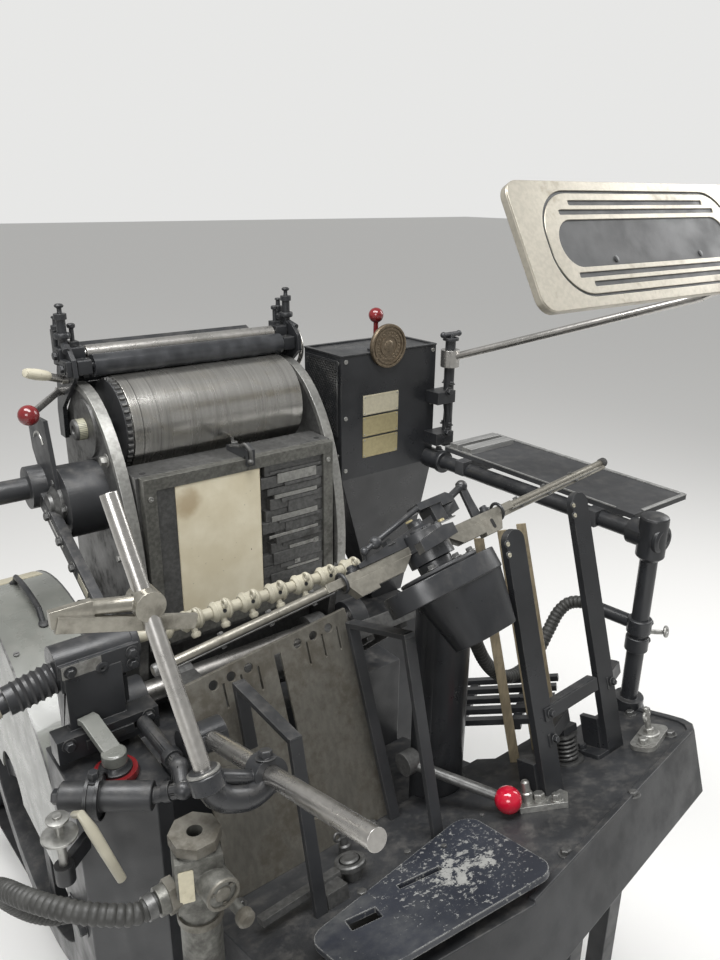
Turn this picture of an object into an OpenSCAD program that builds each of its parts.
// Platen printing press with rotating gripper arms, built around its upright bed.
// Measures are millimetres. X runs along the ink drum, Y to the rear and Z up from the floor.

/* [Bed and chase] */
// Outer width of the chase
chase_w = 384; // [300:1:460]
// Outer height of the chase
chase_h = 316; // [260:1:360]
// Width of the chase's side bars
chase_bar = 22; // [14:1:32]
// Depth of the chase from front to rear
chase_t = 20; // [14:1:26]
// Height of the chase's top above the floor
chase_top = 1165; // [1120:1:1200]
// Distance that the bed reaches past the chase on either side
bed_margin = 6; // [2:1:10]
// Depth of the bed's shelf behind the chase
shelf_d = 66; // [40:1:70]

/* [Platen] */
// Width of the platen
platen_w = 372; // [300:1:390]
// Height of the platen's face
platen_h = 290; // [240:1:300]
// Thickness of the platen's plate
platen_t = 26; // [16:1:34]
// Angle between the shut platen and the open one
platen_open = 54; // [50:1:56]
// Gap between the shut platen and the chase
platen_gap = 8; // [6:1:14]
// Height of the platen's pivot above the floor
pivot_z = 761; // [740:1:775]
// Radius of the platen's pivot shaft
pivot_r = 20; // [14:1:26]

/* [Ink drum and rollers] */
// Radius of the ink drum
drum_r = 86; // [70:1:88]
// Length of the ink drum
drum_l = 344; // [300:1:350]
// Distance of the drum's axis behind the front of the chase
drum_y = 166; // [160:1:180]
// Height of the drum's axis above the floor
drum_z = 1221; // [1218:1:1240]
// Radius of the polished steel roller
steel_r = 14; // [12:1:18]
// Radius of the two rubber rollers
rubber_r = 20; // [18:1:22]
// Radius of the handwheel on the rear roller
handwheel_r = 44; // [36:1:45]

/* [Guard box] */
// Width of the tall guard box
box_w = 248; // [200:1:262]
// Depth of the tall guard box
box_d = 130; // [110:1:134]
// Height of the guard box's top above the floor
box_top = 1314; // [1260:1:1360]
// Height at which the front of the guard box starts to slant
box_crease = 1060; // [1020:1:1120]

/* [Name guard] */
// Width of the name guard
name_w = 575; // [460:1:600]
// Height of the name guard along its slope
name_h = 187; // [150:1:220]
// Thickness of the name guard
name_t = 14; // [8:1:20]
// Angle that the name guard leans back
name_lean = 30; // [15:1:40]
// Radius of the rod that carries the name guard
name_rod_r = 8; // [6:1:12]

/* [Side support and tray] */
// Radius of the support tube and its upright
tube_r = 15; // [10:1:20]
// Width of the side tray
tray_w = 160; // [140:1:240]
// Length of the side tray
tray_l = 470; // [380:1:480]

/* [Feed and delivery table] */
// Angle that the table slopes down to the rear
table_tilt = 17.5; // [12:0.5:20]
// Height of the table's top below the side upright
table_z = 737; // [700:1:760]
// Depth of the table casting's front face
table_d = 105; // [80:1:130]
// Length of the delivery posts
post_l = 430; // [380:1:434]
// Width of the feed plate
feed_w = 272; // [260:1:300]
// Length of the feed plate along its slope
feed_l = 325; // [300:1:330]
// Angle between the feed plate and the vertical
feed_lean = 21.4; // [18:0.1:23]

/* [Gripper arms] */
// Length of one gripper arm from the hub's axis to its tip
arm_l = 420; // [340:1:424]
// Radius of the gripper bar
grip_r = 6; // [4:0.5:8]
// Angle between the gripper axis and the vertical
grip_tilt = 40; // [36:1:46]
// Angle that the gripper axis leans to the left
grip_side = 5; // [0:1:8]

/* [Flywheel and drive] */
// Radius of the flywheel
wheel_r = 320; // [260:1:340]
// Width of the flywheel's rim
wheel_w = 70; // [50:1:80]
// Height of the flywheel's axis above the floor
wheel_z = 640; // [600:1:680]
// Distance of the flywheel's axis behind the front of the chase
wheel_y = 60; // [20:1:100]

/* [Hidden] */
$fn = 48;

run_gap = 0.05;
seat_gap = 0.3;

base_x = 285;
base_y0 = -110;
base_y1 = 470;
base_top = 700;
plinth = 25;
gear_x1 = 480;
chase_z0 = chase_top - chase_h;
bed_x = chase_w / 2 + bed_margin;
bed_y1 = chase_t + shelf_d;
bed_z0 = chase_z0 - 19;
cheek_x0 = bed_x + 3;
cheek_t = 18;
cheek_x1 = cheek_x0 + cheek_t;
boss_t = 5;
pivot_y = 8;
lug_x = [225, 265];
shaft_r = 16;
axle_r = 7;

// The steel roller lies on both rubber rollers, which lie on the drum
ink_nip = 0.5;
ink_lean = 22.3;
rubber_gap = 2;
rubber_side = rubber_r + rubber_gap / 2;
rubber_up = sqrt(pow(drum_r + rubber_r + ink_nip, 2) - pow(rubber_side, 2));
steel_up = rubber_up + sqrt(pow(steel_r + rubber_r + ink_nip, 2) - pow(rubber_side, 2));
function ink_point(side, up) = [drum_y + side * cos(ink_lean) + up * sin(ink_lean),
    drum_z - side * sin(ink_lean) + up * cos(ink_lean)];
steel_at = ink_point(0, steel_up);
front_at = ink_point(-rubber_side, rubber_up);
rear_at = ink_point(rubber_side, rubber_up);

box_gap = 23;
box_x0 = cheek_x1 + box_gap;
box_y0 = 40;
box_x1 = box_x0 + box_w;
guard_x = box_x1 + 16;
guard_y = box_y0 - 26;
guard_shaft_r = 11;

table_y = -516;
table_y1 = 85;
table_nose = 240;
feeder_x = [-578, -385];
feeder_y = [-560, -300];
flange_t = 45;
motor_r = 90;
hub = [45, -431, 1146];
hub_r = 34;
spindle_r = 14;
column_x = 80;
column_y = -440;
column_r = 42;
bracket_top = 640;
bracket_x = 300;

module block(x0, x1, y0, y1, z0, z1) {
    translate([x0, y0, z0])
        cube([x1 - x0, y1 - y0, z1 - z0]);
}

module rod(p, q, r) {
    d = q - p;
    l = norm(d);
    translate(p)
        rotate([0, acos(d[2] / l), atan2(d[1], d[0])])
            cylinder(h = l, r = r);
}

module disc_x(x0, x1, y, z, r) {
    translate([x0, y, z])
        rotate([0, 90, 0])
            cylinder(h = x1 - x0, r = r);
}

// A shape drawn in Y and Z and drawn out along X
module across(x0, x1) {
    translate([x0, 0, 0])
        rotate([90, 0, 90])
            linear_extrude(x1 - x0)
                children();
}

// A flat bar between two points of a plane drawing, half its width longer at each end
module strip(p, q, t) {
    d = q - p;
    translate(p)
        rotate(atan2(d[1], d[0]))
            translate([-t / 2, -t / 2])
                square([norm(d) + t, t]);
}

// A rod on the line from p towards q, from one distance after p to another
module collar(p, q, from, to, r) {
    u = (q - p) / norm(q - p);
    rod(p + from * u, p + to * u, r);
}

// Both sides of the machine, the outer face of the left one mirrored
module both_sides() {
    children();
    mirror([1, 0, 0]) children();
}

// Table frame: origin on the table's top under the upright, y along the slope to the rear
module on_table() {
    translate([0, table_y, table_z])
        rotate([-table_tilt, 0, 0])
            children();
}

// Gripper frame: origin at the hub, z along the gripper axis, x along the resting arms
module on_hub() {
    translate(hub)
        rotate([-grip_tilt, 0, 0])
            rotate([0, -grip_side, 0])
                children();
}

module base_frame() color("#23262b") {
    difference() {
        union() {
            block(-base_x - plinth, gear_x1 + plinth, base_y0 - plinth, base_y1 + plinth, 0, 45);
            block(-base_x, base_x, base_y0, base_y1, 45, base_top);
            block(base_x, gear_x1, 20, 430, 45, base_top);
        }
        block(-base_x + 55, base_x - 55, base_y0 - 1, base_y0 + 22, 110, 430);
        block(-base_x + 90, base_x - 90, base_y1 - 22, base_y1 + 1, 260, 620);
        disc_x(-base_x - 1, -base_x + 120, wheel_y, wheel_z, 25 + run_gap);
    }
    both_sides() difference() {
        union() {
            disc_x(lug_x[0], lug_x[1], pivot_y, pivot_z, pivot_r + 18);
            block(lug_x[0], lug_x[1], pivot_y - pivot_r - 18, pivot_y + pivot_r + 18,
                base_top - 1, pivot_z);
        }
        disc_x(lug_x[0] - 1, lug_x[1] + 1, pivot_y, pivot_z, pivot_r + run_gap);
    }
}

module bed_casting() color("#33363a") {
    block(-bed_x, bed_x, chase_t, bed_y1, bed_z0, chase_top);
    block(-bed_x + 30, bed_x - 30, bed_y1 - 1, 300, base_top, chase_top - 105);
    block(-bed_x + 8, bed_x - 8, bed_y1 - 1, 180, base_top, bed_z0 + 60);
}

// The front edge of the cheeks is a quarter of an ellipse that the roller carriage follows
track_c = [200, 950];
track_semi = [205, 345];
track_low = -8;
track_w = 12;
cheek_y1 = 300;
function track_point(t, inward) = [track_c[0] - (track_semi[0] - inward) * cos(t),
    track_c[1] + (track_semi[1] - inward) * sin(t)];
function track_curve(t0, t1, inward, n = 20) =
    [for (i = [0 : n]) track_point(t0 + (t1 - t0) * i / n, inward)];

module side_cheeks() color("#4a4c4e") {
    front = track_curve(track_low, 96, track_w);
    both_sides() difference() {
        union() {
            across(cheek_x0, cheek_x1)
                polygon(concat([[45, base_top]], front, [[cheek_y1, 1200], [cheek_y1, base_top]]));
            disc_x(cheek_x1 - 1, cheek_x1 + boss_t, drum_y, drum_z, 52);
        }
        disc_x(0, cheek_x1 + boss_t + 1, drum_y, drum_z, shaft_r + run_gap);
    }
}

module roller_tracks() color("#9b9c98") {
    rim = concat(track_curve(track_low, 96, 0), track_curve(96, track_low, track_w));
    both_sides() across(cheek_x0 - 1, cheek_x1 + 1) polygon(rim);
}

module chase() color("#4d4e4c") {
    difference() {
        block(-chase_w / 2, chase_w / 2, 0, chase_t, chase_z0, chase_top);
        block(-chase_w / 2 + chase_bar, chase_w / 2 - chase_bar, -1, chase_t + 1,
            chase_z0 + chase_bar, chase_top - chase_bar);
    }
}

board_x = [-136, 30];
form_z = [chase_z0 + chase_bar, chase_top - chase_bar];

module type_board() color("#c9bd9a") {
    block(board_x[0], board_x[1], 2, chase_t, form_z[0], form_z[1]);
}

// Spacing strips beside the board, stepped where they meet it
strip_n = 12;
module furniture() color("#3b3d3f") {
    strip_h = (form_z[1] - form_z[0]) / strip_n;
    block(-chase_w / 2 + chase_bar, board_x[0], 3, chase_t, form_z[0], form_z[1]);
    for (i = [0 : strip_n - 1])
        block(board_x[1] + 3 + 9 * ((i * 5 + 2) % 4) * (i > 3 ? 1 : 0), chase_w / 2 - chase_bar,
            4 + 2 * (i % 2), chase_t, form_z[0] + i * strip_h, form_z[0] + (i + 1) * strip_h - 1);
}

module chase_hook() color("#2b2d30") {
    across(0, 16)
        polygon([[6, chase_top], [70, chase_top], [70, chase_top + 10], [30, chase_top + 16],
            [14, chase_top + 26], [-8, chase_top + 18], [-8, chase_top - 12], [-0.3, chase_top - 12],
            [-0.3, chase_top + 8]]);
}

// The platen is drawn shut and turned to its open rest about the pivot
module open_platen() {
    translate([0, pivot_y, pivot_z])
        rotate([platen_open, 0, 0])
            translate([0, -pivot_y, -pivot_z])
                children();
}

platen_y = -platen_gap;
platen_top = chase_top - 26;
platen_z0 = platen_top - platen_h;
arm_x = [130, 170];

module platen() color("#55575a") {
    rib = platen_y - platen_t;
    open_platen() difference() {
        union() {
            block(-platen_w / 2, platen_w / 2, rib, platen_y, platen_z0, platen_top);
            for (x = [-110, -40, 40, 110])
                across(x - 7, x + 7)
                    polygon([[rib + 1, platen_z0], [rib - 24, platen_z0 + 40], [rib - 24, platen_z0 + 150],
                        [rib - 8, platen_top - 10], [rib + 1, platen_top - 10]]);
            both_sides() {
                disc_x(arm_x[0], arm_x[1], pivot_y, pivot_z, pivot_r + 14);
                across(arm_x[0], arm_x[1])
                    polygon([[pivot_y - pivot_r - 13, pivot_z], [pivot_y + pivot_r + 13, pivot_z],
                        [platen_y - 1, platen_z0 - 15], [platen_y - 1, platen_z0 + 60],
                        [rib - 18, platen_z0 + 60]]);
            }
        }
        disc_x(-platen_w, platen_w, pivot_y, pivot_z, pivot_r + run_gap);
    }
}

module platen_shaft() color("#8d8f90") {
    disc_x(-lug_x[1] - 8, lug_x[1] + 8, pivot_y, pivot_z, pivot_r);
}

drum_x0 = -drum_l / 2 + 5;
nut_r = 19;

module ink_drum() color("#8f8e8a") {
    disc_x(drum_x0, drum_x0 + drum_l, drum_y, drum_z, drum_r);
    disc_x(drum_x0 - 12, drum_x0 + 1, drum_y, drum_z, drum_r - 6);
    disc_x(-cheek_x1 - boss_t - 1, cheek_x1 + boss_t + 4, drum_y, drum_z, shaft_r);
    disc_x(-cheek_x1 - boss_t - 15, -cheek_x1 - boss_t - seat_gap, drum_y, drum_z, nut_r);
}

bracket_x0 = cheek_x1 + boss_t + seat_gap;
bracket_x1 = bracket_x0 + 8;

module roller(at, r) {
    disc_x(-bed_x + 6, bed_x - 6, at[0], at[1], r);
    disc_x(-bracket_x1, bracket_x1, at[0], at[1], axle_r);
}

module steel_roller() color("#b4b4b0") roller(steel_at, steel_r);

module front_roller() color("#3a3b3d") roller(front_at, rubber_r);

wheel_x = bracket_x1 + 10;

module rear_roller() color("#3a3b3d") {
    roller(rear_at, rubber_r);
    disc_x(bracket_x1 - 1, wheel_x + 8, rear_at[0], rear_at[1], axle_r);
}

module handwheel() color("#b9bab8") {
    translate([wheel_x, rear_at[0], rear_at[1]])
        rotate([0, 90, 0]) difference() {
            union() {
                rotate_extrude() translate([handwheel_r, 0]) circle(r = 5);
                cylinder(h = 14, r = 13, center = true);
                for (a = [0, 120, 240])
                    rotate([0, 0, a]) translate([8, -4, -3]) cube([handwheel_r - 9, 8, 6]);
            }
            cylinder(h = 30, r = axle_r, center = true);
        }
}

// One plate a side carries the three rollers and a screw post
module roller_brackets() color("#26282b") {
    foot = [drum_y + 95, drum_z + 22];
    both_sides() difference() {
        union() {
            across(bracket_x0, bracket_x1)
                polygon([front_at + [-22, -14], front_at + [-18, 16], steel_at + [-20, 22],
                    steel_at + [16, 22], steel_at + [24, 8], rear_at + [34, 0], foot + [20, -10],
                    foot + [20, -60], foot + [-6, -60], foot + [-12, 0]]);
            across(cheek_x1, bracket_x0 + 1)
                polygon([foot + [18, -12], foot + [18, -58], foot + [-2, -58], foot + [-2, -12]]);
            translate([(bracket_x0 + bracket_x1) / 2, steel_at[0], steel_at[1] + 12])
                cylinder(h = 50, r = 8);
            translate([(bracket_x0 + bracket_x1) / 2, steel_at[0], steel_at[1] + 62])
                cylinder(h = 10, r = 11);
        }
        for (at = [steel_at, front_at, rear_at])
            disc_x(cheek_x0, wheel_x, at[0], at[1], axle_r + run_gap);
    }
}

module ink_fountain() color("#2f3134") {
    lip = rear_at + [rubber_r + 6, 0];
    across(-bed_x, bed_x)
        polygon([lip, lip + [78, 34], lip + [86, 26], lip + [58, -26], lip + [20, -50], lip + [8, -50],
            lip + [6, -10]]);
    both_sides() across(bed_x - 1, bracket_x0)
        polygon([lip + [4, -20], lip + [30, -12], lip + [30, -40], lip + [8, -48]]);
}

module guard_box() color("#1d1f22") {
    foot_y = box_y0 + box_d;
    intersection() {
        across(box_x0, box_x1)
            polygon([[box_y0, box_crease], [box_y0, box_top], [foot_y, box_top],
                [foot_y, base_top], [foot_y - 40, base_top]]);
        translate([0, 500, 0]) rotate([90, 0, 0]) linear_extrude(600)
            polygon([[box_x0, box_crease], [box_x0, box_top], [box_x1, box_top], [box_x1, base_top],
                [gear_x1 - 80, base_top]]);
    }
}

module guard_mesh() color("#17181a") {
    block(box_x0 - 2, box_x0, box_y0 + 8, box_y0 + box_d - 8, box_crease + 60, box_top - 10);
}

module box_lever() color("#7d1f22") {
    translate([box_x0 + 104, box_y0 + 26, box_top + 70]) sphere(r = 15);
    translate([box_x0 + 104, box_y0 + 26, box_top]) cylinder(h = 60, r = 5);
}

module medal() color("#6d5b43") {
    translate([box_x0 + 112, box_y0, box_top + 12])
        rotate([90, 0, 0])
            cylinder(h = 7, r = 44);
}

module guard_post() color("#202225") {
    translate([guard_x, guard_y, box_top - 218]) cylinder(h = 230, r = guard_shaft_r);
    translate([guard_x, guard_y, box_top + 12]) cylinder(h = 12, r = 6);
    rod([guard_x - 22, guard_y, box_top + 24], [guard_x + 22, guard_y, box_top + 24], 5);
    for (z = [box_top - 210, box_top - 120])
        block(box_x1 - 26, guard_x + 8, guard_y - 14, box_y0, z, z + 26);
}

rod_foot = [guard_x, guard_y, box_top - 26];
rod_head = [box_x0 + 413, -445, 1453];
name_at = [rod_head[0] + 89 - name_w / 2, -457, 1549];

module name_plate_place() {
    translate(name_at)
        rotate([-name_lean, 0, 0])
            rotate([90, 0, 0])
                children();
}

module guard_rod() color("#8c8a84") {
    difference() {
        union() {
            translate(rod_foot - [0, 0, 18]) cylinder(h = 36, r = 20);
            rod(rod_foot, rod_head, name_rod_r);
            rod(rod_head + [0, 6, 2], rod_head + [0, -46, 28], 11);
        }
        translate(rod_foot - [0, 0, 30]) cylinder(h = 60, r = guard_shaft_r + run_gap);
        name_plate_place() cube([name_w, name_h, name_t], center = true);
    }
}

module name_guard() color("#a8a08d") {
    name_plate_place() linear_extrude(name_t, center = true)
        offset(r = 24) square([name_w - 48, name_h - 48], center = true);
}

tee = [480, -520, 1076];
tube_z = 1068;

module tube_run() rod([tee[0], box_y0 - 10, tube_z], tee, tube_r);

module support_tube() color("#222427") {
    tube_x = tee[0];
    tube_run();
    rod([tube_x, box_y0, tube_z], [tube_x, box_y0 - 42, tube_z], 22);
    translate(tee - [0, 0, 34]) cylinder(h = 68, r = 24);
    rod(tee + [0, 40, -1], tee + [0, -12, 0], 23);
    difference() {
        translate([tube_x, tee[1], table_z - 60]) cylinder(h = tee[2] - table_z + 60, r = tube_r);
        on_table() block(-1000, 1000, -600, 600, -400, 0);
    }
    difference() {
        translate([tube_x, tee[1], table_z - 60]) cylinder(h = 84, r = 26);
        on_table() block(-1000, 1000, -600, 600, -400, 0);
    }
    rod([tube_x, tee[1] + 2, 907], [tube_x - 10, tee[1] + 88, 907], 12);
}

tray_t = 10;
tray_gap = 11;
tray_at = [tee[0] + 4, guard_y - guard_shaft_r - tray_gap - tray_l, tee[2] + tube_r + seat_gap];

module side_tray() color("#1f2124") {
    difference() {
        translate(tray_at) cube([tray_w, tray_l, tray_t]);
        translate(tee - [0, 0, 50]) cylinder(h = 100, r = 24 + 3);
    }
    difference() {
        for (y = [60, tray_l - 80])
            translate(tray_at + [-24, y, -30]) cube([100, 24, 31]);
        translate(tray_at + [-30, 0, 0]) cube([30.1, tray_l, 20]);
        tube_run();
    }
}

module tray_rails() color("#9a9b98") {
    for (y = [34, 74])
        translate(tray_at + [3, tray_l - y, tray_t]) cube([130, 18 + y / 8, 12]);
}

module table_casting() color("#26282b") {
    difference() {
        on_table() translate([0, 0, -table_d])
            linear_extrude(table_d)
                union() {
                    polygon([[-330, -200], [-40, -table_nose], [449, -156], [467, -142], [476, -120],
                        [478, -90], [478, 20], [335, 20], [325, 60], [200, 60], [180, table_y1],
                        [-330, table_y1]]);
                    translate([tee[0], 0]) circle(r = 32);
                }
        translate([column_x, column_y, 500]) cylinder(h = 400, r = column_r + seat_gap);
        on_table() translate([stem_at[0], stem_at[1], -200]) cylinder(h = 300, r = stem_r + run_gap);
    }
    // The raised rim along the front and the right end
    on_table() translate([0, 0, -1]) linear_extrude(6)
        polygon([[-40, -table_nose], [449, -156], [467, -142], [476, -120], [478, -90], [478, -34],
            [466, -34], [466, -88], [464, -116], [457, -133], [444, -145], [-40, -228]]);
}

// What carries the table: a bracket from the base and two legs with a stretcher
module table_frame() color("#1f2124") {
    difference() {
        union() {
            across(-bracket_x, bracket_x)
                polygon([[base_y0, 440], [base_y0, bracket_top], [-490, bracket_top], [-600, 760],
                    [-600, 570], [-520, 500]]);
            for (x = [330, 440])
                block(x - 18, x + 18, -580, -544, 0, 760);
            block(290, 458, -576, -548, 520, 560);
        }
        on_table() block(-1000, 1000, -600, 600, -table_d, 500);
        on_table() translate([stem_at[0], stem_at[1], -table_d - 60]) cylinder(h = 70, r = stem_r + 6);
    }
}

module feed_line(x0, x1, z0, z1, t) {
    across(x0, x1) polygon([for (p = [[0, z0], [0, z1], [t, z1], [t, z0]])
        [-446 + p[0] + (p[1] - 716) * tan(feed_lean), p[1]]]);
}

// Air holes in the feed plate, in two groups with a slot after each, and the open joint between them
feed_x = -292;
feed_top = 716 + feed_l * cos(feed_lean);
function top_at(x) = feed_top - (feed_x + feed_w - x) * tan(grip_side);
hole_r = 7;
hole_step = 28;
hole_x = [for (i = [0 : 2]) feed_x + 40 + i * hole_step,
    for (i = [0 : 2]) feed_x + feed_w - 92 + i * hole_step];

module feed_hole(x, z, r) {
    translate([x, -446 + (z - 716) * tan(feed_lean), z])
        rotate([-90 - feed_lean, 0, 0]) translate([0, 0, -20]) cylinder(h = 50, r = r);
}

module feed_slot(x, z0, z1, w) translate([0, -1, 0]) feed_line(x - w / 2, x + w / 2, z0, z1, 8);

module feed_plate() color("#77766f") {
    difference() {
        feed_line(feed_x, feed_x + feed_w, 690, feed_top, 5);
        on_table() block(-600, 600, -200, 200, -100, 0);
        for (x = hole_x) {
            feed_hole(x, top_at(x) - 15, hole_r);
            feed_slot(x + hole_step / 2 + 0.5, top_at(x) - 50, top_at(x) - 17, 3);
        }
        feed_slot((hole_x[2] + hole_x[3]) / 2 + 6, 760, top_at(hole_x[2]) - 11, 11);
        // The top edge runs parallel to the resting gripper arms
        translate([feed_x + feed_w, 0, feed_top]) rotate([0, -grip_side, 0])
            block(-600, 100, -500, -200, 0, 100);
    }
}

module guide(x, points) {
    difference() {
        across(x - 9, x + 9)
            for (i = [0 : len(points) - 2])
                strip(points[i], points[i + 1], 8);
        on_table() block(-600, 600, -200, 200, -100, 0);
        feed_line(x - 10, x + 10, 690, 1100, 9);
    }
}

module side_guides() color("#2a2c2f") {
    guide(-227, [[-562, 735], [-504, 986], [-368, 990], [-392, 905]]);
    guide(-24, [[-562, 735], [-478, 1046], [-350, 1004], [-466, 708]]);
}

suction_y = -315;
suction_z = 1078;
swivel_x = -346;

module suction_bar() color("#cfc8ad") {
    disc_x(swivel_x - 60, 11, suction_y, suction_z, 8);
    for (i = [0 : 7])
        disc_x(-318 + i * 44, -302 + i * 44, suction_y, suction_z, 13);
}

module suction_swivel() color("#1d1f22") {
    difference() {
        union() {
            disc_x(swivel_x - 104, swivel_x, suction_y, suction_z, 24);
            block(-448, swivel_x - 4, suction_y - 27, suction_y + 12, 1052, 1088);
            block(-420, -366, suction_y - 20, suction_y + 30, 1006, 1044);
            block(-466, -338, suction_y - 42, suction_y - 12, 966, 998);
            block(-444, -374, suction_y - 28, suction_y + 14, pump_top, 1070);
            rod([-446, suction_y, 1062], [-506, suction_y - 2, 1052], 18);
            rod([-505, suction_y - 2, 1052], [-530, suction_y - 4, 1046], 12);
        }
        disc_x(swivel_x - 80, swivel_x + 1, suction_y, suction_z, 8 + run_gap);
        for (x = [-422, -372])
            block(x, x + 26, suction_y - 44, suction_y - 34, 977, 987);
    }
}

// The pump's casting has a slanted front edge
pump_top = 955;
pump_x1 = -362;
pump_front = [[-466, -398], [-386, -452]];

module feeder_column() color("#24262a") {
    block(feeder_x[0], feeder_x[1], feeder_y[0], feeder_y[1], 0, flange_t);
    linear_extrude(pump_top)
        polygon([[pump_front[0][0], -296], pump_front[0], pump_front[1], [pump_x1, -440],
            [pump_x1, -296]]);
    block(pump_x1 - 1, -bracket_x, -350, -310, 480, 560);
    // The pump's barrel lies along the slanted front, with its collar and bent outlet pipe
    barrel = [pump_front[0] + [-14, -4], pump_front[1] + [-8, -12]];
    barrel_z = pump_top + 6;
    rod([barrel[0][0], barrel[0][1], barrel_z], [barrel[1][0], barrel[1][1], barrel_z], 17);
    collar([barrel[0][0], barrel[0][1], barrel_z], [barrel[1][0], barrel[1][1], barrel_z], 34, 46, 25);
    pipe = [[barrel[1][0] - 2, barrel[1][1] + 1, barrel_z], [-368, -488, 972], [-360, -462, 984],
        [-360, -357.3, 984]];
    for (i = [0 : 2])
        rod(pipe[i], pipe[i + 1], 9);
    for (i = [1 : 2])
        translate(pipe[i]) sphere(r = 11);
}

valve = [-402, -590, 946];
air_stub = 46;

module air_valve() color("#5b5a54") {
    block(valve[0] - 28, -330, valve[1] - 22, valve[1] + 22, 690, 750);
    translate([valve[0], valve[1], 749]) cylinder(h = 210, r = 22);
    translate([valve[0], valve[1], 0]) rotate(-18) translate([-24, -24, 930]) cube([48, 48, 66]);
    difference() {
        translate([valve[0], valve[1], 995]) cylinder(h = 16, r = 24);
        translate([valve[0], valve[1], 990]) cylinder(h = 30, r = 8);
    }
    rod([valve[0] + 4, valve[1] - 8, 962], [valve[0] + 6, valve[1] - 44, 962], 18);
    rod([valve[0] + 22, valve[1] - 6, 925], [valve[0] + 26, valve[1] - 44, 922], 6);
    rod(valve, valve - [air_stub, 0, 0], 15);
}

// Parallel turning of a hose's section from ring to ring
function unit(v) = v / norm(v);
function heading(p, i) = unit(p[min(i + 1, len(p) - 1)] - p[max(i - 1, 0)]);
function square_to(v, t) = unit(v - (v * t) * t);
function sides_of(p, i, v) = i == 0 ? square_to(v, heading(p, 0))
    : square_to(sides_of(p, i - 1, v), heading(p, i));

module hose(p, r, first, sides = 10) {
    n = len(p);
    points = [for (i = [0 : n - 1]) let (t = heading(p, i), u = sides_of(p, i, first), w = cross(t, u))
        for (k = [0 : sides - 1]) p[i] + r * (cos(360 * k / sides) * u + sin(360 * k / sides) * w)];
    walls = [for (i = [0 : n - 2]) for (k = [0 : sides - 1])
        [i * sides + k, (i + 1) * sides + k, (i + 1) * sides + (k + 1) % sides, i * sides + (k + 1) % sides]];
    ends = [[for (k = [0 : sides - 1]) k], [for (k = [sides - 1 : -1 : 0]) (n - 1) * sides + k]];
    polyhedron(points, faces = concat(walls, ends), convexity = 4);
}

air_route = [valve - [air_stub + 0.3, 0, 0], [-470, -590, 946], [-494, -580, 952],
    [-517, -562, 955], [-537, -535, 953],
    [-552, -503, 945], [-561, -468, 930], [-565, -432, 905], [-562, -400, 872], [-553, -376, 834],
    [-538, -361, 796], [-518, -352, 762], [-495, -348, 738], [-480, -347, 732], [-466.4, -347, 732]];

module air_hose() color("#33342f") hose(air_route, 11, [0, 0, 1]);

blower_route = [[471, -431, 907], [468, -405, 905], [458, -384, 896], [440, -376, 878], [416, -378, 852],
    [388, -382, 824], [356, -386, 806], [322, -389, 800], [288, -391, 808], [256, -392, 832], [228, -393, 866],
    [205, -395, 905], [186, -400, 940], [165, -408, 962], [143, -417, 971], [121, -425, 974]];
blower_end = blower_route[len(blower_route) - 1];
blower_way = heading(blower_route, len(blower_route) - 1);

module blower_hose() color("#33342f") hose(blower_route, 12, [0, 0, 1]);

module gripper_housing() color("#1f2124") {
    difference() {
        union() {
            on_hub() {
                hull() for (x = [-38, 33]) translate([x, 0, -74]) cylinder(h = 30, r = 58, $fn = 32);
                hull() for (x = [6, 36]) translate([x, 0, -152]) cylinder(h = 80, r1 = 36, r2 = 54, $fn = 32);
            }
            translate([column_x, column_y, bracket_top]) cylinder(h = 410, r = column_r);
            on_hub() translate([0, 0, -60]) cylinder(h = 35, r = 26);
            rod(blower_end + 0.3 * blower_way, blower_end + 34 * blower_way, 16);
        }
        on_hub() translate([0, 0, -120]) cylinder(h = 140, r = spindle_r + run_gap);
        disc_x(lever_pivot[0], column_x - 5, lever_pivot[1], lever_pivot[2], lever_pin_r + run_gap);
    }
}

module gripper_hub() color("#2a2c2f") {
    on_hub() {
        translate([0, 0, -110]) cylinder(h = 100, r = spindle_r);
        translate([0, 0, -24.7]) cylinder(h = hub_top + 24.7, r = hub_r);
        hub_side(-46, -30) polygon([[-42, -12], [-42, 4], [8, 12], [26, 10], [26, -6], [8, -8]]);
    }
}

hub_top = 19.3;

// A shape drawn in the gripper frame's X and Z, from one Y to another
module hub_side(y0, y1) translate([0, y1, 0]) rotate([90, 0, 0]) linear_extrude(y1 - y0) children();

// The tapered bar, clamp block and jointed rods that open the grippers
module hub_links() color("#26282b") on_hub() {
    hub_side(-7, 7) polygon([[-122, 7], [-122, 13], [60, 40], [84, 42], [84, 27], [38, hub_top],
        [-35, hub_top], [-36, 7]]);
    translate([28, -15, hub_top]) cube([22, 30, 32]);
    hub_side(-18, 10) polygon([[6, 46], [6, 57], [64, 57], [74, 50], [74, 40], [48, 40], [48, 46]]);
    rod([-104, -13, 26], [8, -13, 51], 4);
    translate([-86, -13, 30]) sphere(r = 9);
    translate([-108, -13, 25]) sphere(r = 6);
    rod([-108, -13, 25], [-108, -2, 12], 3);
    rod([72, -2, 46], [113, -2, 58], 5.5);
    translate([113, -2, 58]) sphere(r = 9);
    hub_side(-5, 1) polygon([[106, 65], [119, 64], [118, 34], [119, 7], [102, 7], [104, 34]]);
}

grip_turn = -2.3;

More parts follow.
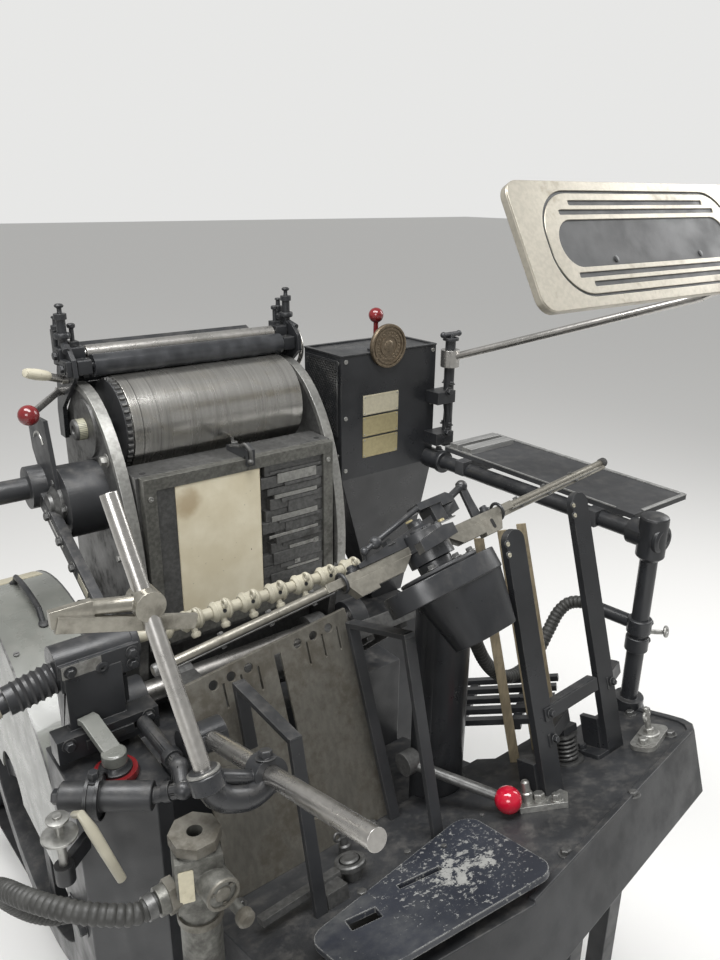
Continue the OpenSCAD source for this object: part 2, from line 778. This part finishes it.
module gripper_arms() color("#8f8b7c") {
    on_hub() rotate([0, 0, grip_turn]) for (a = [0, 180])
        rotate([0, 0, a]) difference() {
            union() {
                translate([hub_r - 6, -8, -5]) cube([150, 16, 12]);
                hub_side(-9, 9) polygon([[hub_r, -4], [hub_r + 24, -22], [104, -22], [104, -27], [136, -27],
                    [150, -4]]);
                translate([hub_r + 40, 0, 0]) rotate([0, 90, 0])
                    cylinder(h = arm_l - hub_r - 40, r = grip_r);
                if (a == 0)
                    translate([hub_r + 40, -5, -11]) cube([arm_l - hub_r - 50, 10, 7]);
            }
            translate([0, 0, -40]) cylinder(h = 80, r = hub_r);
        }
}

post_x = [314, 142];
post_w = 38;

module delivery_posts() color("#17191c") {
    on_table() for (i = [0, 1])
        translate([post_x[i], -81 - 17 * i, 0]) rotate([90, 0, 0]) linear_extrude(12, center = true)
            union() {
                top = post_l - 18 * i - post_w / 2;
                square([post_w, top]);
                translate([post_w / 2, top]) circle(d = post_w);
            }
}

module delivery_slats() color("#8f7f5c") {
    on_table() for (x = [208, 262, 308])
        translate([x, 22, 0]) rotate(slat_turn) block(-8, 8, -2, 2, 0, post_l - 48);
}

board_rest = 60;

stem_at = [262, -44];
stem_r = 12;
slat_turn = -54;
slat_l = 205;

// A slatted board that lies across the table's rear edge, on a stem that slides in the table
module pile_board() color("#1d1f21") {
    on_table() {
        translate([136, 140, board_rest])
            rotate(slat_turn) {
                for (i = [0 : 4])
                    translate([0, i * 44, 0]) cube([slat_l, 15, 10]);
                for (x = [40, 138])
                    translate([x, 0, -9]) cube([16, 191, 10]);
            }
        translate([stem_at[0], stem_at[1], -table_d + 10]) cylinder(h = table_d + board_rest - 15, r = stem_r);
        block(stem_at[0] - 16, stem_at[0] + 16, stem_at[1] - 16, stem_at[1] + 48, board_rest - 10,
            board_rest + 1);
    }
}

slot_at = [-150, -118];
slot_turn = -12;

module front_plate() color("#1b1d22") {
    on_table() translate([0, 0, 18])
        linear_extrude(8) difference() {
            offset(r = 26) polygon([[-254, -125], [-7, -89], [-20, -214], [-254, -186]]);
            translate(slot_at) rotate(slot_turn) square([62, 9]);
            translate(slot_at + [-86, -16]) rotate(slot_turn) square([40, 22]);
        }
    on_table() for (x = [-200, -60]) translate([x, -150, 0]) cylinder(h = 18, r = 14);
}

lever_pivot = [10, -452, 800];
lever_tip = [84, -588, 786];
lever_pin_r = 8;
ball_r = 20;

module main_lever() color("#5d6152") {
    difference() {
        union() {
            rod(lever_pivot, lever_tip, 8);
            disc_x(lever_pivot[0] - 12, lever_pivot[0] + 12, lever_pivot[1], lever_pivot[2], 18);
        }
        translate(lever_tip) sphere(r = ball_r);
    }
    disc_x(lever_pivot[0] + 11, column_x - 6, lever_pivot[1], lever_pivot[2], lever_pin_r);
}

module lever_ball() color("#b3122a") {
    translate(lever_tip) sphere(r = ball_r);
}

shaft_ends = [[-312, -440, 990.6], [-312, -770, 1087]];
clamp_share = 0.427;
clamp_at = shaft_ends[0] + clamp_share * (shaft_ends[1] - shaft_ends[0]);
lean_foot = [-385, -587, 1068];
lean_top = [-410, -465, 1338];

module side_rods() color("#b5b1a8") {
    rod(shaft_ends[0], shaft_ends[1], 11);
    rod(lean_foot, lean_top, 9);
}

module rod_clamp() color("#1c1e21") {
    difference() {
        union() {
            collar(clamp_at, shaft_ends[1], -13, 13, 20);
            rod(clamp_at - [15, 0, 0], lean_foot + [8, 0, -4], 8);
            collar(lean_foot, lean_top, -14, 8, 15);
            rod([-346, -440, 990.6], [-292, -440, 990.6], 20);
            block(pump_x1, -330, -440, -416, 930, 974);
        }
        rod(shaft_ends[0], shaft_ends[1], 11);
        rod(lean_foot, lean_top, 9);
    }
}

// A round clamp on the leaning rod with its cross rod, end tab and flat stop bar
stop_at = lean_foot + 0.62 * (lean_top - lean_foot);

module stop_bar() color("#6e6c66") difference() {
    union() {
        rod(stop_at + [0, 14, 0], stop_at - [0, 14, 0], 16);
        rod(stop_at, stop_at + [-64, 4, 12], 8);
        translate(stop_at + [-92, -4, 2]) cube([40, 8, 18]);
        translate(stop_at + [-90, -6, -2]) rotate([0, 17, 0]) cube([144, 6, 16]);
    }
    rod(lean_foot, lean_top, 9);
}

// The roller carriage's arm and bearing on the left, and the round gear case behind it
module carriage_arm() color("#1d1f22") {
    lift = [204, 1120];
    across(-312, -296) strip(lift, [-70, 986], 32);
    disc_x(-324, -288, lift[0], lift[1], 38);
    disc_x(-400, -cheek_x1, lift[0], lift[1], 20);
    disc_x(-290, -cheek_x1, 140, 1105, 64);
    across(-297, -289) polygon([[120, 1120], [150, 1250], [246, 1244], [238, 1180], [200, 1130]]);
}

module ink_levers() color("#b0aca4") {
    rod([-bracket_x1 - 8, 200, 1305], [-310, 170, 1330], 7);
    disc_x(-bracket_x1 - 12, -bracket_x1, 200, 1305, 9);
    rod([-bracket_x1 - 8, 236, 1276], [-330, 90, 1280], 6);
    disc_x(-bracket_x1 - 12, -bracket_x1, 236, 1276, 8);
    translate([-336, 80, 1282]) sphere(r = 16);
}

wheel_x0 = -base_x - 80 - wheel_w;

module flywheel() color("#3a3c3e") {
    translate([wheel_x0, wheel_y, wheel_z]) rotate([0, 90, 0]) {
        difference() {
            cylinder(h = wheel_w, r = wheel_r);
            translate([0, 0, -1]) cylinder(h = wheel_w + 2, r = wheel_r - 45);
        }
        cylinder(h = wheel_w + 10, r = 50);
        for (a = [0 : 60 : 300])
            rotate([0, 0, a]) translate([40, -18, 20]) cube([wheel_r - 60, 36, 30]);
        cylinder(h = wheel_w + 180, r = 25);
    }
}

cover_in = wheel_r + 18;
cover_x1 = -base_x - 40;
cover_out = cover_in + 12;

module flywheel_cover() color("#5c6358") {
    x0 = wheel_x0 - 15;
    difference() {
        union() {
            difference() {
                disc_x(x0, cover_x1, wheel_y, wheel_z, cover_out);
                disc_x(x0 + 4, cover_x1 - 4, wheel_y, wheel_z, cover_in);
                block(x0 + 8, cover_x1 - 10, wheel_y + 200, wheel_y + cover_out + 10, wheel_z - 1, wheel_z + 260);
            }
            block(cover_x1 - 2, -base_x, wheel_y - 100, wheel_y + 200, wheel_z, wheel_z + 40);
        }
        disc_x(x0 - 1, -base_x + 1, wheel_y, wheel_z, 60);
        block(x0 - 1, -base_x + 1, wheel_y - 500, wheel_y + 500, wheel_z - 500, wheel_z);
    }
}

motor_at = [base_y1 + 150, 220];
pulley_r = 50;

module drive_motor() color("#2c2f33") {
    disc_x(-330, -60, motor_at[0], motor_at[1], motor_r);
    disc_x(wheel_x0, -329, motor_at[0], motor_at[1], 16);
    disc_x(wheel_x0, wheel_x0 + wheel_w, motor_at[0], motor_at[1], pulley_r);
    block(-300, -100, motor_at[0] - 70, motor_at[0] + 70, 60, motor_at[1] - 60);
    block(-300, -100, base_y1, motor_at[0] + 70, 45, 75);
}

// The polygon's flats, not its corners, keep the seat gap
module belt_turn(r) circle(r = (r + seat_gap) / cos(180 / 72), $fn = 72);

module drive_belt() color("#1a1a1b") {
    across(wheel_x0 + 15, wheel_x0 + wheel_w - 15) difference() {
        hull() {
            translate([wheel_y, wheel_z]) belt_turn(wheel_r + 6);
            translate(motor_at) belt_turn(pulley_r + 6);
        }
        hull() {
            translate([wheel_y, wheel_z]) belt_turn(wheel_r);
            translate(motor_at) belt_turn(pulley_r);
        }
    }
}

// Middle of the machine's plan, which the model's origin stands under
table_front = table_y - table_nose * cos(table_tilt) - table_d * sin(table_tilt);
mid = [(feeder_x[0] + name_at[0] + name_w / 2) / 2, (table_front + motor_at[0] + motor_r) / 2];

module placed() translate([-mid[0], -mid[1], 0]) children();

placed() base_frame();
placed() bed_casting();
placed() side_cheeks();
placed() chase();
placed() type_board();
placed() furniture();
placed() chase_hook();
placed() roller_tracks();
placed() platen();
placed() platen_shaft();
placed() ink_drum();
placed() steel_roller();
placed() front_roller();
placed() rear_roller();
placed() roller_brackets();
placed() ink_fountain();
placed() handwheel();
placed() guard_box();
placed() guard_mesh();
placed() box_lever();
placed() medal();
placed() guard_post();
placed() guard_rod();
placed() name_guard();
placed() support_tube();
placed() side_tray();
placed() tray_rails();
placed() table_casting();
placed() table_frame();
placed() feed_plate();
placed() side_guides();
placed() suction_bar();
placed() suction_swivel();
placed() feeder_column();
placed() air_valve();
placed() air_hose();
placed() gripper_housing();
placed() gripper_hub();
placed() hub_links();
placed() gripper_arms();
placed() delivery_posts();
placed() delivery_slats();
placed() blower_hose();
placed() pile_board();
placed() front_plate();
placed() main_lever();
placed() lever_ball();
placed() side_rods();
placed() rod_clamp();
placed() stop_bar();
placed() ink_levers();
placed() carriage_arm();
placed() flywheel();
placed() flywheel_cover();
placed() drive_motor();
placed() drive_belt();
